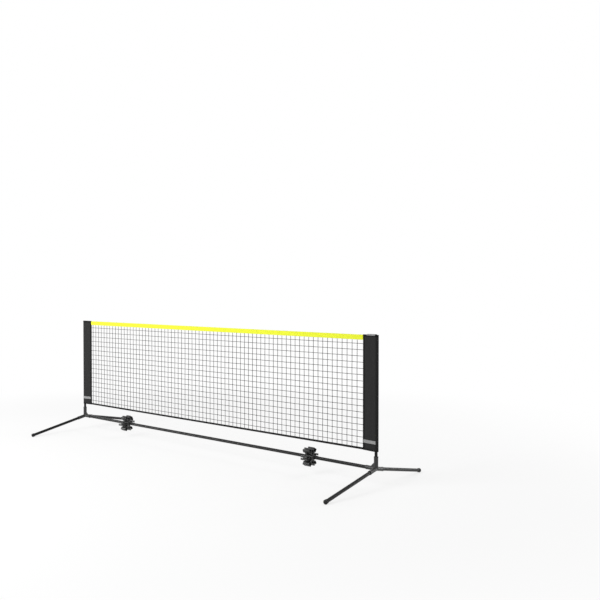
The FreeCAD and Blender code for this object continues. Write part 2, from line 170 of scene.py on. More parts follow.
def grey(level):
    return (level, level, level, 1.0)


print("stage 2: finishes")


def tubePaintFinish(name, wear):                  # satin powder coat on steel tube
    finish = Finish(name)
    finish.shader.inputs["Specular IOR Level"].default_value = 0.22
    where = finish.place()
    peel = finish.noise(where, 700.0, 2.0)        # orange peel, about 1.4 mm
    speck = finish.noise(where, 2600.0, 1.0)
    cloud = finish.noise(where, 9.0, 3.0)
    colour = finish.mix(cloud.span(0.35, 0.7), grey(0.003), grey(0.0055))
    colour = finish.mix(speck.span(0.62, 0.8) * 0.35, colour, grey(0.022))
    rough = 0.20 + cloud * 0.05 + speck * 0.05
    if wear:                                      # the drawn tube is polished along its length
        streak = finish.noise(finish.place((60, 60, 1.2)), 9.0, 2.0).span(0.58, 0.72)
        colour = finish.mix(streak * 0.4, colour, grey(0.025))
        rough = rough - streak * 0.08
    finish.feed(Base_Color=colour, Roughness=rough.clamped(),
                Normal=finish.bump(peel, 0.00006))
    return finish.material


def mouldedFinish(name, level, roughness, grain):  # moulded plastic with a spark-eroded grain
    finish = Finish(name)
    finish.shader.inputs["Specular IOR Level"].default_value = 0.42
    where = finish.place()
    texture = finish.noise(where, grain, 2.0, 0.6)
    cloud = finish.noise(where, 22.0, 3.0)
    colour = finish.mix(cloud.span(0.3, 0.75), grey(level), grey(level * 1.5))
    colour = finish.mix(texture.span(0.6, 0.8) * 0.3, colour, grey(level * 2.6))
    finish.feed(Base_Color=colour, Roughness=(roughness + texture * 0.12).clamped(),
                Normal=finish.bump(texture, 0.00009))
    return finish.material


def rubberFinish(name):                           # dull rubber, dusty where it stands
    finish = Finish(name)
    finish.shader.inputs["Specular IOR Level"].default_value = 0.25
    where = finish.place()
    texture = finish.noise(where, 1500.0, 2.0)
    smudge = finish.noise(where, 60.0, 4.0)
    height = finish.axis(where, "Z")
    dust = (1.0 - height.span(0.0, 0.010)) * smudge.span(0.35, 0.65)
    colour = finish.mix(smudge.span(0.3, 0.8), grey(0.005), grey(0.011))
    colour = finish.mix(dust * 0.5, colour, rgb(0.075, 0.072, 0.066))
    finish.feed(Base_Color=colour, Roughness=(0.48 + dust * 0.35 + texture * 0.06).clamped(),
                Normal=finish.bump(texture, 0.00012))
    return finish.material


def steelFinish(name):                            # bright zinc on the parts inside
    finish = Finish(name, Metallic=1.0)
    where = finish.place()
    spangle = finish.noise(where, 180.0, 3.0)
    drawn = finish.noise(finish.place((1, 40, 40)), 14.0, 2.0)
    colour = finish.mix(spangle.span(0.3, 0.7), grey(0.48), grey(0.62))
    finish.feed(Base_Color=colour, Roughness=(0.24 + drawn * 0.22).clamped(),
                Normal=finish.bump(drawn, 0.00002))
    return finish.material


def twineFinish(name, level):                     # twisted plies, seen as slanting ridges, with painted shade darkening the grooves between them
    finish = Finish(name)
    finish.shader.inputs["Specular IOR Level"].default_value = 0.25
    where = finish.place()
    across = finish.axis(where, "X")
    up = finish.axis(where, "Z")
    deep = finish.axis(where, "Y")
    ply = (across + up + deep * 1.6).wave(0.0026)
    fuzz = finish.noise(where, 1800.0, 2.0)
    cloud = finish.noise(where, 30.0, 2.0)
    colour = finish.mix(cloud.span(0.3, 0.7), grey(level), grey(level * 1.7))
    # painted shade: the grooves between the plies get a much darker grey
    colour = finish.mix(ply.span(-1.0, 0.2), grey(level * 0.35), colour)
    finish.feed(Base_Color=colour, Roughness=(0.62 + fuzz * 0.2).clamped(),
                Normal=finish.bump(ply * 0.5 + fuzz * 0.5, 0.00025))
    return finish.material


def threadFinish(name, dark, light):              # two plies of dyed thread, with painted shade darkening the grooves between them
    finish = Finish(name)
    where = finish.place()
    ply = (finish.axis(where, "X") + finish.axis(where, "Z")).wave(0.0011)
    cloud = finish.noise(where, 60.0, 2.0)
    # painted shade: the dark colour goes in the grooves between the plies, the light one on their
    # ridges
    finish.feed(Base_Color=finish.mix(ply.span(-1.0, 0.6), dark, light),
                Roughness=(0.6 + cloud * 0.2).clamped(),
                Normal=finish.bump(ply, 0.00012))
    return finish.material


def wovenFinish(name, dark, light, pitch, rib, roughness=0.8, sheen=0.0, depth=0.00016):
    # plain weave on the piece's own UV map, which is in metres
    finish = Finish(name)
    finish.shader.inputs["Specular IOR Level"].default_value = 0.14
    finish.shader.inputs["Sheen Weight"].default_value = sheen
    finish.shader.inputs["Sheen Roughness"].default_value = 0.5
    flat = finish.place(output="UV")
    weft = finish.axis(flat, "X")
    warp = finish.axis(flat, "Y")
    over = weft.wave(pitch) * warp.wave(pitch * rib)
    yarn = finish.noise(finish.place((1, 14, 1), "UV"), 260.0, 2.0)
    cloud = finish.noise(flat, 11.0, 4.0, 0.6)
    shade = (over * 0.25 + 0.35 + yarn * 0.3 + cloud * 0.25).span(0.15, 0.95)
    finish.feed(Base_Color=finish.mix(shade, dark, light),
                Roughness=(roughness + cloud * 0.1).clamped(),
                Normal=finish.bump(over * 0.6 + yarn * 0.5, depth))
    return finish.material


finishes = {
    "tube": tubePaintFinish("tubePaint", wear=False),
    "drawnTube": tubePaintFinish("drawnTubePaint", wear=True),
    "moulded": mouldedFinish("mouldedNylon", 0.016, 0.24, 1100.0),
    "inner": mouldedFinish("innerNylon", 0.020, 0.34, 1500.0),
    "rubber": rubberFinish("footRubber"),
    "steel": steelFinish("zincSteel"),
    "twine": twineFinish("netTwine", 0.020),
    "sleeve": wovenFinish("sleeveOxford", grey(0.0065), grey(0.0185), 0.0011, 1.0, 0.78, 0.12),
    "binding": wovenFinish("edgeBinding", grey(0.003), grey(0.008), 0.0009, 2.2, 0.75),
    "webbing": wovenFinish("hemWebbing", grey(0.003), grey(0.009), 0.0014, 0.7, 0.75),
    "tape": wovenFinish("yellowTape", rgb(0.67, 0.72, 0.020), rgb(0.79, 0.85, 0.045),
                        0.0008, 1.0, 0.62, 0.0, 0.00010),
    "patch": wovenFinish("wovenPatch", grey(0.20), grey(0.31), 0.0007, 1.4, 0.75, 0.1, 0.00012),
    "blackThread": twineFinish("blackThread", 0.022),
    "yellowThread": threadFinish("yellowThread", rgb(0.62, 0.70, 0.02), rgb(0.80, 0.88, 0.04)),
}


print("stage 3: frame nodes")
nodeFinish = {
    "end_bar": "tube", "middle_bar": "tube", "leg": "tube", "lower_post": "tube",
    "upper_post": "drawnTube", "lock_plug": "inner", "lock_cam": "inner", "top_plug": "inner",
    "bar_ferrule": "steel",
}
for nodeName, node in nodes.items():
    for ending, finishName in nodeFinish.items():
        if nodeName.endswith(ending):
            for materialSlot in node.material_slots:
                materialSlot.material = finishes[finishName]


def piece(bm, name, finishName, body, replaced=()):
    mesh = bpy.data.meshes.new(name)
    bm.to_mesh(mesh)
    bm.free()
    for face in mesh.polygons:
        face.use_smooth = True
    made = bpy.data.objects.new(name, mesh)
    bpy.context.scene.collection.objects.link(made)
    made.data.materials.append(finishes[finishName])
    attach(made, body)
    if replaced:
        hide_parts(*replaced)
    return made


def shapedGrid(across, along, place, flat):       # a grid laid on a surface, UV in metres
    bm = bmesh.new()
    bmesh.ops.create_grid(bm, x_segments=across, y_segments=along, size=0.5)
    uvLayer = bm.loops.layers.uv.new("UVMap")
    for face in bm.faces:
        for loop in face.loops:
            loop[uvLayer].uv = ((loop.vert.co.x + 0.5) * flat[0], (loop.vert.co.y + 0.5) * flat[1])
    for vert in bm.verts:
        vert.co = place(vert.co.x + 0.5, vert.co.y + 0.5)
    return bm


def thicken(made, thickness):
    wall = made.modifiers.new("wall", "SOLIDIFY")
    wall.thickness = thickness
    wall.offset = 0.0
    wall.use_even_offset = True


def bead(around, along):                          # a small closed bead, radius 1
    bm = bmesh.new()
    bmesh.ops.create_uvsphere(bm, u_segments=around, v_segments=along, radius=1.0)
    mesh = bpy.data.meshes.new("bead")
    bm.to_mesh(mesh)
    bm.free()
    return mesh


stitchBead = bead(5, 4)
knotBead = bead(6, 4)


def addCopy(bm, mesh, matrix):
    mesh.transform(matrix)
    bm.from_mesh(mesh)
    mesh.transform(matrix.inverted())


def stitches(bm, start, end, pitch, outward, radius=0.00045):
    # a row of small long beads along a straight seam
    run = Vector(end) - Vector(start)
    count = int(run.length / pitch)
    lengthwise = run.normalized()
    sideways = lengthwise.cross(Vector(outward)).normalized()
    turn = Matrix((sideways, Vector(outward).normalized(), lengthwise)).transposed().to_4x4()
    shape = Matrix.Diagonal((radius, radius * 0.6, pitch * 0.36, 1))
    for number in range(count):
        middle = Vector(start) + run * ((number + 0.5) / count)
        addCopy(bm, stitchBead, Matrix.Translation(middle) @ turn @ shape)


def turned(profile, steps=48):                    # a closed outline (radius, height) spun about Z
    bm = bmesh.new()
    ring = [bm.verts.new((radius, 0, height)) for radius, height in profile]
    edges = [bm.edges.new(pair) for pair in zip(ring, ring[1:] + ring[:1])]
    bmesh.ops.spin(bm, geom=ring + edges, cent=(0, 0, 0), axis=(0, 0, 1), dvec=(0, 0, 0),
                   angle=2 * math.pi, steps=steps, use_merge=True)
    bmesh.ops.remove_doubles(bm, verts=bm.verts, dist=0.000001)
    bmesh.ops.recalc_face_normals(bm, faces=bm.faces)
    mesh = bpy.data.meshes.new("turned")
    bm.to_mesh(mesh)
    bm.free()
    return mesh


def baked(made):                                  # its modifiers become its mesh
    graph = bpy.context.evaluated_depsgraph_get()
    mesh = bpy.data.meshes.new_from_object(made.evaluated_get(graph))
    made.modifiers.clear()
    made.data = mesh
    for face in mesh.polygons:
        face.use_smooth = True


print("stage 4: connectors, hubs and feet")
barLow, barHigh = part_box("left_middle_bar")
barZ = (barLow[2] + barHigh[2]) / 2

moulding = {
    "voxel": 0.0009,
    "kept": 0.5,                 # share of the faces kept
}


def moulded(nodeName, bm, rounding):              # joins overlapping shapes and rounds their edges
    made = piece(bm, nodeName + "_moulded", "moulded", "frame", [nodeName])
    grown = made.modifiers.new("grown", "REMESH")
    grown.mode = "VOXEL"
    grown.voxel_size = moulding["voxel"]
    rounded = made.modifiers.new("rounded", "SMOOTH")
    rounded.factor = 0.5
    rounded.iterations = rounding
    thinned = made.modifiers.new("thinned", "DECIMATE")
    thinned.ratio = moulding["kept"]
    baked(made)


connector = {
    "socketReach": 0.072,        # centre to the mouth of a leg or bar socket
    "mastReach": 0.075,
    "legSlope": math.radians(11.1),
    "collar": 0.0065,            # length of the thicker ring at each mouth
    "collarRise": 0.0009,
    "tubeRing": (0.0118, 0.0131),  # bore of a ring and outside of its socket
    "mastRing": (0.0104, 0.0136),
    "rounding": 6,
}


def collarRing(bore, socket):                     # its mouth is at height 0
    low, rise = -connector["collar"], connector["collarRise"]
    return turned([(bore, low), (socket - 0.0004, low), (socket + rise, low + 0.0012),
                   (socket + rise, -0.0009), (socket + rise * 0.4, 0.0), (bore, 0.0)])


def upTo(direction):                              # turns Z to that direction
    return Vector(direction).to_track_quat("Z", "X").to_matrix().to_4x4()


def legDirection(facing):
    slope = connector["legSlope"]
    return Vector((0, facing * math.cos(slope), -math.sin(slope)))


def makeConnector(side, sideName):
    nodeName = sideName + "_corner_connector"
    centre = Vector((side * net["postX"], 0, barZ))
    tubeCollar = collarRing(*connector["tubeRing"])
    bm = bmesh.new()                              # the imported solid, with a ring at each mouth
    bm.from_mesh(nodes[nodeName].data)
    bmesh.ops.remove_doubles(bm, verts=bm.verts, dist=0.00001)
    addCopy(bm, collarRing(*connector["mastRing"]),
            Matrix.Translation(centre + Vector((0, 0, connector["mastReach"]))))
    for direction in (Vector((-side, 0, 0)), legDirection(-1), legDirection(1)):
        mouth = centre + direction * connector["socketReach"]
        addCopy(bm, tubeCollar, Matrix.Translation(mouth) @ upTo(direction))
    moulded(nodeName, bm, connector["rounding"])


hub = {
    "left": -0.928,
    "right": 0.980,
    "depth": 0.052,
    "collar": 0.016,             # sleeve beyond the right face
    "core": (0.0111, 0.0148),    # bore and outside of the sleeve on the bar
    "clips": 6,
    "clipCircle": 0.0475,
    "bore": 0.0113,
    "wall": 0.0036,
    "web": 0.009,
    "mouth": math.radians(10),   # half the angle that a clip leaves open
    "ear": 0.0113,               # middle of a clip to its square outer corners, out and aside
    "earRadius": 0.0036,
    "rounding": 4,
}


def makeClip():                                   # opens towards +Y, the X axis is its middle
    depth, bore, wall = hub["depth"], hub["bore"], hub["wall"]
    webLength = hub["clipCircle"] - bore - hub["core"][0]
    quarter = Matrix.Rotation(math.pi / 2, 4, "X")
    bm = bmesh.new()
    bmesh.ops.create_grid(bm, x_segments=1, y_segments=1, size=0.5, matrix=(
        Matrix.Rotation(hub["mouth"] - math.pi / 2, 4, "X")
        @ Matrix.Translation((0, 0, bore + wall / 2)) @ quarter
        @ Matrix.Diagonal((depth, wall, 1, 1))))
    bmesh.ops.spin(bm, geom=bm.verts[:] + bm.edges[:] + bm.faces[:], cent=(0, 0, 0),
                   axis=(1, 0, 0), dvec=(0, 0, 0), angle=2 * (math.pi - hub["mouth"]), steps=28,
                   use_merge=False)
    bmesh.ops.create_cube(bm, size=1.0, matrix=Matrix.Translation((0, -bore - webLength / 2, 0))
                          @ Matrix.Diagonal((depth, webLength, hub["web"], 1)))
    for facing in (-1, 1):
        spot = Matrix.Translation((0, hub["ear"], facing * hub["ear"]))
        bmesh.ops.create_cone(bm, cap_ends=True, segments=20, radius1=hub["earRadius"],
                              radius2=hub["earRadius"], depth=depth,
                              matrix=spot @ Matrix.Rotation(math.pi / 2, 4, "Y"))
    bmesh.ops.recalc_face_normals(bm, faces=bm.faces)
    mesh = bpy.data.meshes.new("hubClip")
    bm.to_mesh(mesh)
    bm.free()
    return mesh


def makeHub(sideName):
    middle = Matrix.Translation((hub[sideName], 0, barZ))
    inner, outer = hub["core"]
    back, front = -hub["depth"] / 2, hub["depth"] / 2 + hub["collar"]
    core = turned([(inner, back), (outer, back), (outer, front - 0.001), (outer - 0.001, front),
                   (inner + 0.0005, front)])
    clip = makeClip()
    bm = bmesh.new()
    addCopy(bm, core, middle @ Matrix.Rotation(math.pi / 2, 4, "Y"))
    for number in range(hub["clips"]):
        turn = Matrix.Rotation(2 * math.pi * number / hub["clips"], 4, "X")
        addCopy(bm, clip, middle @ turn @ Matrix.Translation((0, hub["clipCircle"], 0)))
    moulded(sideName + "_storage_hub", bm, hub["rounding"])


foot = {
    "reach": 0.524,              # connector centre to the end of the foot
    "length": 0.024,
    "mouth": 0.0131,
    "bulge": 0.0142,
    "bore": 0.01105,
    "floor": 0.005,
    "dome": 0.0092,
}


def makeFoot(side, sideName, facing, facingName):
    radius, length = foot["mouth"], foot["length"]
    outline = [(foot["bore"], -length), (radius - 0.0010, -length), (radius, -length + 0.0008),
               (radius + 0.0002, -length + 0.0022), (radius, -length + 0.0036),
               (radius - 0.0008, -length + 0.0044), (radius - 0.0008, -length + 0.0056)]
    for step in range(5):                         # swells towards the ground
        share = step / 5
        swell = share * share * (3 - 2 * share)
        outline.append((radius + (foot["bulge"] - radius) * swell,
                        -length + 0.0066 + (length - 0.0066 - foot["dome"]) * share))
    for step in range(13):
        angle = math.pi / 2 * step / 12
        outline.append((foot["bulge"] * math.cos(angle), foot["dome"] * (math.sin(angle) - 1)))
    outline += [(0.0, -foot["floor"]), (foot["bore"], -foot["floor"])]
    direction = legDirection(facing)
    end = Vector((side * net["postX"], 0, barZ)) + direction * foot["reach"]
    bm = bmesh.new()
    addCopy(bm, turned(outline, 56), Matrix.Translation(end) @ upTo(direction))
    cut = bmesh.ops.bisect_plane(bm, geom=bm.verts[:] + bm.edges[:] + bm.faces[:], dist=0.00001,
                                 plane_co=(0, 0, 0), plane_no=(0, 0, 1), clear_inner=True)
    rim = [part for part in cut["geom_cut"] if isinstance(part, bmesh.types.BMEdge)]
    bmesh.ops.holes_fill(bm, edges=rim)
    nodeName = "%s_%s_foot" % (sideName, facingName)
    made = piece(bm, nodeName + "_cap", "rubber", "frame", [nodeName])
    made.data.set_sharp_from_angle(angle=math.radians(40))


for side, sideName in ((-1, "left"), (1, "right")):
    makeConnector(side, sideName)
    makeHub(sideName)
    for facing, facingName in ((-1, "front"), (1, "rear")):
        makeFoot(side, sideName, facing, facingName)


print("stage 5: net mesh")
twine = {
    "radius": 0.0017,
    "knot": 0.0029,
    "columns": 72,
    "firstColumn": 0.023,        # left sleeve to the first upright thread
    "lastColumn": 0.046,         # last upright thread to the right sleeve
    "rows": 17,
    "firstRow": 0.2548,          # height above the floor
    "lastRow": 0.8725,
    "wander": 0.0007,
    "waviness": 0.0012,
}


def netPoint(x, z):                               # a point of the net, a little out of true
    sway = noise.noise(Vector((x * 1.7, z * 3.1, 4.0))) * twine["waviness"] * 2
    shiftX = noise.noise(Vector((x * 19, z * 19, 9.0))) * twine["wander"]
    shiftZ = noise.noise(Vector((x * 23, z * 17, 2.0))) * twine["wander"]
    return Vector((x + shiftX, sway, z + shiftZ))


def makeTwine():
    lowZ = net["bottom"] + 0.004
    highZ = net["top"] - 0.012
    columnPitch = (2 * net["innerEdge"] - twine["firstColumn"] - twine["lastColumn"]) \
        / (twine["columns"] - 1)
    rowPitch = (twine["lastRow"] - twine["firstRow"]) / (twine["rows"] - 1)
    firstX = -net["innerEdge"] + twine["firstColumn"]
    xs = [firstX + i * columnPitch for i in range(twine["columns"])]
    zs = [twine["firstRow"] + i * rowPitch for i in range(twine["rows"])]
    curve = bpy.data.curves.new("twineLines", "CURVE")
    curve.dimensions = "3D"
    curve.bevel_depth = twine["radius"]
    curve.bevel_resolution = 1
    curve.use_fill_caps = True

    def thread(points):
        spline = curve.splines.new("POLY")
        spline.points.add(len(points) - 1)
        for point, place in zip(spline.points, points):
            point.co = (*place, 1.0)

    def between(values):                          # each crossing and the middle of each cell
        return sorted(values + [(a + b) / 2 for a, b in zip(values, values[1:])])

    edge = net["innerEdge"] + 0.003
    for x in xs:
        thread([netPoint(x, z) for z in between([lowZ] + zs + [highZ])])
    for z in zs:
        thread([netPoint(x, z) for x in between([-edge] + xs + [edge])])
    lines = bpy.data.objects.new("twineLines", curve)
    bpy.context.scene.collection.objects.link(lines)
    bpy.context.view_layer.update()
    mesh = bpy.data.meshes.new_from_object(lines.evaluated_get(
        bpy.context.evaluated_depsgraph_get()))
    bm = bmesh.new()
    bm.from_mesh(mesh)
    bpy.data.objects.remove(lines)
    for x in xs:
        for z in zs:
            turn = Matrix.Rotation(random.uniform(0, math.pi), 4, "Y")
            knot = twine["knot"]
            shape = Matrix.Diagonal((knot, knot * 0.8, knot * 1.15, 1))
            addCopy(bm, knotBead, Matrix.Translation(netPoint(x, z)) @ turn @ shape)
    piece(bm, "net_twine_mesh", "twine", "left_raised", ["net_mesh"])


makeTwine()


print("stage 6: top tape, headline and hem")
band = {
    "cordZ": 0.925,
    "wrapRadius": 0.0024,        # middle of the cloth round the headline
    "flapY": 0.0019,
    "cloth": 0.0009,
    "seamRise": (0.0045, 0.0215),
    "stitch": 0.006,
    "flap": 0.38,                # share of the section in each flap
}
tapeBottom = net["top"] - net["tapeHeight"]


def tapeSection(share):                           # front flap, round the cord, back flap
    flap = band["flap"]
    angle = math.pi * (share - flap) / (1 - 2 * flap)
    flapTop = band["cordZ"] - 0.0035
    if share < flap:
        rise = share / flap
        y, z = -band["flapY"], tapeBottom + rise * (flapTop - tapeBottom)
        y -= 0.0004 * max(0.0, rise - 0.8) / 0.2
    elif share > 1 - flap:
        rise = (1 - share) / flap
        y, z = band["flapY"], tapeBottom + rise * (flapTop - tapeBottom)
        y += 0.0004 * max(0.0, rise - 0.8) / 0.2
    else:
        y = -math.cos(angle) * band["wrapRadius"]
        z = band["cordZ"] + math.sin(angle) * band["wrapRadius"]
    return y, z


def tapePlace(u, v):
    x = (v - 0.5) * 2 * (net["innerEdge"] + 0.002)
    y, z = tapeSection(u)
    pucker = noise.noise(Vector((x * 14, z * 20, 1.0))) * 0.0005
    edgeWave = noise.noise(Vector((x * 30, 0.0, 5.0))) * 0.0004 if z < tapeBottom + 0.01 else 0.0
    return Vector((x, y + pucker, z + edgeWave))


tape = piece(shapedGrid(34, 280, tapePlace, (0.0665, 2.812)), "top_tape_fold", "tape",
             "left_raised", ["top_tape"])
thicken(tape, band["cloth"])

seams = bmesh.new()
for rise in band["seamRise"]:
    for facing in (-1, 1):
        y = facing * (band["flapY"] + band["cloth"] / 2 + 0.0002)
        stitches(seams, (-net["innerEdge"] + 0.002, y, tapeBottom + rise),
                 (net["innerEdge"] - 0.002, y, tapeBottom + rise), band["stitch"],
                 (0, facing, 0))
piece(seams, "top_tape_seams", "yellowThread", "left_raised")

headline = bmesh.new()
bmesh.ops.create_cone(headline, cap_ends=True, segments=16, radius1=0.0017, radius2=0.0017,
                      depth=2 * net["innerEdge"],
                      matrix=Matrix.Translation((0, 0, band["cordZ"]))
                      @ Matrix.Rotation(math.pi / 2, 4, "Y"))
piece(headline, "headline_braid", "blackThread", "left_raised", ["headline_cord"])


def hemPlace(u, v):
    x = (v - 0.5) * 2 * (net["innerEdge"] + 0.002)
    top = net["bottom"] + net["hemHeight"]
    angle = math.pi * (u - 0.4) / 0.2
    turnZ = net["bottom"] + 0.0019
    if u < 0.4:
        y, z = -0.0015, top - (u / 0.4) * (top - turnZ)
    elif u > 0.6:
        y, z = 0.0015, top - ((1 - u) / 0.4) * (top - turnZ)
    else:
        y, z = -0.0015 * math.cos(angle), turnZ - 0.0015 * math.sin(angle)
    return Vector((x, y + noise.noise(Vector((x * 9, 2.0, 3.0))) * 0.0004, z))


hem = piece(shapedGrid(16, 260, hemPlace, (0.0277, 2.812)), "bottom_hem_webbing", "webbing",
            "left_raised", ["bottom_hem"])
thicken(hem, 0.0008)


print("stage 7: side sleeves")
sleeve = {
    "inner": 0.096,              # post axis to the edge at the net
    "outer": 0.016,              # post axis to the outer edge
    "pocket": 0.0119,            # middle of the cloth round the post
    "innerHalf": 0.0024,
    "outerHalf": 0.0012,
    "cloth": 0.0009,
    "lid": 0.0035,               # top edge of the cloth to the ridge of the closed top
    "binding": 0.0125,           # width of the binding on each face, at the net
    "outerBinding": 0.008,
    "bindingCloth": 0.0006,
    "fold": 0.25,                # share of a binding's grid that turns round the edge
    "stitch": 0.006,
}


def sleeveHalf(along):                            # half thickness, along = outwards from the post
    pocket = sleeve["pocket"]
    lean = (pocket - sleeve["innerHalf"]) / sleeve["inner"]
    if along < -pocket * lean:
        share = (along + sleeve["inner"]) / (sleeve["inner"] - pocket * lean)
        high = pocket * math.sqrt(1 - lean ** 2)
        return sleeve["innerHalf"] + share * (high - sleeve["innerHalf"])
    outerLean = (pocket - sleeve["outerHalf"]) / sleeve["outer"]
    if along < pocket * outerLean:
        return math.sqrt(max(0.0, pocket ** 2 - along ** 2))
    start = pocket * outerLean
    share = (along - start) / (sleeve["outer"] - start)
    high = pocket * math.sqrt(1 - outerLean ** 2)
    return high + share * (sleeve["outerHalf"] - high)


patch = {
    "left": -0.085,              # post axis to its edge at the net
    "right": -0.091,
    "width": 0.095,
    "height": 0.020,
    "rise": 0.055,               # bottom of the sleeve to its middle
}

topTab = {                       # grey webbing on the right sleeve's top
    "start": -0.066,
    "end": -0.002,
    "rise": 0.0055,
    "drop": 0.0035,
    "over": 0.6,                 # share of its length that bends over the top
    "lift": 0.0019,              # middle of the sleeve's cloth to the tab
    "flat": (0.064, 0.034),
    "thickness": 0.0007,
}

sectionSteps = 400
sectionRuns = [0.0]
sectionStations = []
for step in range(sectionSteps + 1):
    station = -sleeve["inner"] + (sleeve["inner"] + sleeve["outer"]) * step / sectionSteps
    sectionStations.append((station, sleeveHalf(station)))
    if step:
        before = sectionStations[-2]
        sectionRuns.append(sectionRuns[-1] + math.hypot(station - before[0],
                                                        sectionStations[-1][1] - before[1]))
halfGirth = sectionRuns[-1]


def sectionAt(share):                             # share of the front's girth, from the net
    wanted = share * halfGirth
    for number in range(1, len(sectionRuns)):
        if sectionRuns[number] >= wanted:
            low, high = sectionRuns[number - 1], sectionRuns[number]
            part = (wanted - low) / (high - low)
            first, second = sectionStations[number - 1], sectionStations[number]
            return tuple(a + part * (b - a) for a, b in zip(first, second))
    return sectionStations[-1]


def foldDepth(side, along, z, facing):            # slack and pull in the cloth
    low = (z - net["bottom"]) / (net["top"] - net["bottom"])
    soft = noise.noise(Vector((along * 22 + side * 5, z * 6, facing * 3.0))) * 0.0011
    pull = math.sin((z * 60 + along * 45)) * 0.0005 * math.exp(-(((1 - low) / 0.10) ** 2))
    pull += math.sin((z * 55 - along * 50)) * 0.0005 * math.exp(-((low / 0.12) ** 2))
    panel = max(0.0, min(1.0, (-along - 0.012) / 0.03))
    return (soft + pull) * panel


def sleevePoint(side, u, z, lift=0.0):            # u from the net round the post and back
    facing = -1 if u < 0.5 else 1
    share = 1 - abs(2 * u - 1)
    along, half = sectionAt(share)
    half += foldDepth(side, along, z, facing) * min(1.0, 6 * share)
    return Vector((side * (net["postX"] + along), facing * (half + lift), z))


def makeSleeve(side, sideName):
    body = "left_raised"
    low, high = net["bottom"], net["top"] - sleeve["lid"]
    cloth, bindingCloth, fold = sleeve["cloth"], sleeve["bindingCloth"], sleeve["fold"]

    def place(u, v):
        return sleevePoint(side, u if side > 0 else 1 - u, low + v * (high - low))

    bm = shapedGrid(96, 90, place, (2 * halfGirth, high - low))
    main = piece(bm, sideName + "_sleeve_cloth", "sleeve", body, [sideName + "_side_sleeve"])
    thicken(main, cloth)

    # the closed top, a turned band that meets along a ridge
    def topPlace(u, v):
        u = u if side > 0 else 1 - u
        flatPart, bandHeight = 0.55, 0.009
        if v < flatPart:
            point = sleevePoint(side, u, high - bandHeight + bandHeight * v / flatPart, cloth)
        else:
            turn = (v - flatPart) / (1 - flatPart) * math.pi / 2
            point = sleevePoint(side, u, high, cloth)
            point.y *= math.cos(turn)
            point.z = high + math.sin(turn) * sleeve["lid"]
        return point

    bm = shapedGrid(96, 16, topPlace, (2 * halfGirth, 0.02))
    bmesh.ops.remove_doubles(bm, verts=bm.verts, dist=0.00002)
    thicken(piece(bm, sideName + "_sleeve_top", "binding", body), bindingCloth)

    # bindings folded over the two upright edges
    def innerPlace(u, v):
        z = low + v * (high - low)
        reach = sleeve["binding"] * abs(2 * u - 1)
        facing = -1 if u < 0.5 else 1
        share = reach / halfGirth
        along, half = sectionAt(share)
        if abs(2 * u - 1) < fold:
            turn = (abs(2 * u - 1) / fold) * math.pi / 2
            along, half = sectionAt(sleeve["binding"] * fold / halfGirth)
            start = -sleeve["inner"] - 0.0012
            along = start + (along - start) * (1 - math.cos(turn))
            half = (half + cloth) * math.sin(turn) - cloth
        half += foldDepth(side, along, z, facing) * min(1.0, 6 * share)
        return Vector((side * (net["postX"] + along), facing * (half + cloth), z))

    def outerPlace(u, v):
        z = low + v * (high - low)
        facing = -1 if u < 0.5 else 1
        reach = sleeve["outerBinding"] * abs(2 * u - 1)
        along, half = sectionAt(1 - reach / halfGirth)
        if abs(2 * u - 1) < fold:
            turn = (abs(2 * u - 1) / fold) * math.pi / 2
            along, half = sectionAt(1 - sleeve["outerBinding"] * fold / halfGirth)
            along += (sleeve["outer"] + 0.0008 - along) * math.cos(turn)
            half = (half + cloth) * math.sin(turn) - cloth
        return Vector((side * (net["postX"] + along), facing * (half + cloth), z))

    edges = (("inner", innerPlace, 0.020, "binding"), ("outer", outerPlace, 0.016, "sleeve"))
    for edgeName, edgePlace, width, finishName in edges:
        bm = shapedGrid(24, 80, edgePlace, (width, high - low))
        edgeBinding = piece(bm, "%s_sleeve_%s_binding" % (sideName, edgeName), finishName, body)
        thicken(edgeBinding, bindingCloth)

    def bottomPlace(u, v):
        return sleevePoint(side, u if side > 0 else 1 - u, low - 0.0002 + v * 0.010, cloth * 0.85)

    bm = shapedGrid(96, 4, bottomPlace, (2 * halfGirth, 0.010))
    thicken(piece(bm, sideName + "_sleeve_bottom_binding", "binding", body), bindingCloth)

    # stitching along the bindings
    bm = bmesh.new()
    for facing in (-1, 1):
        for along in (-sleeve["inner"] + 0.0078, sleeve["outer"] - 0.0038):
            half = sleeveHalf(along) + cloth * 1.5
            x = side * (net["postX"] + along)
            stitches(bm, (x, facing * half, low + 0.004), (x, facing * half, high - 0.004),
                     sleeve["stitch"], (0, facing, 0))
        for z in (low + 0.0080, high - 0.0075):
            first = sleeveHalf(-sleeve["inner"] + 0.006) + cloth * 1.5
            last = sleeveHalf(-0.006) + cloth * 1.5
            stitches(bm, (side * (net["postX"] - sleeve["inner"] + 0.006), facing * first, z),
                     (side * (net["postX"] - 0.006), facing * last, z), sleeve["stitch"],
                     (0, facing, 0))
    piece(bm, sideName + "_sleeve_stitches", "blackThread", body)

    # the plain sewn patch
    start, width = patch[sideName], patch["width"]

    def patchPlace(u, v):
        along = start + width * (u if side > 0 else 1 - u)
        z = low + patch["rise"] + (v - 0.5) * patch["height"]
        half = sleeveHalf(along) + foldDepth(side, along, z, -1)
        lean = (sleeveHalf(along + 0.0004) - sleeveHalf(along - 0.0004)) / 0.0008
        lift = (cloth * 0.5 + 0.0007) / math.hypot(1, lean)
        return Vector((side * (net["postX"] + along - lean * lift), -(half + lift), z))

    bm = shapedGrid(56, 12, patchPlace, (width, patch["height"]))
    label = piece(bm, sideName + "_sleeve_patch", "patch", body, [sideName + "_label_patch"])
    thicken(label, 0.0009)
    rim = label.modifiers.new("rim", "BEVEL")
    rim.width = 0.0003
    rim.segments = 2
    rim.limit_method = "ANGLE"


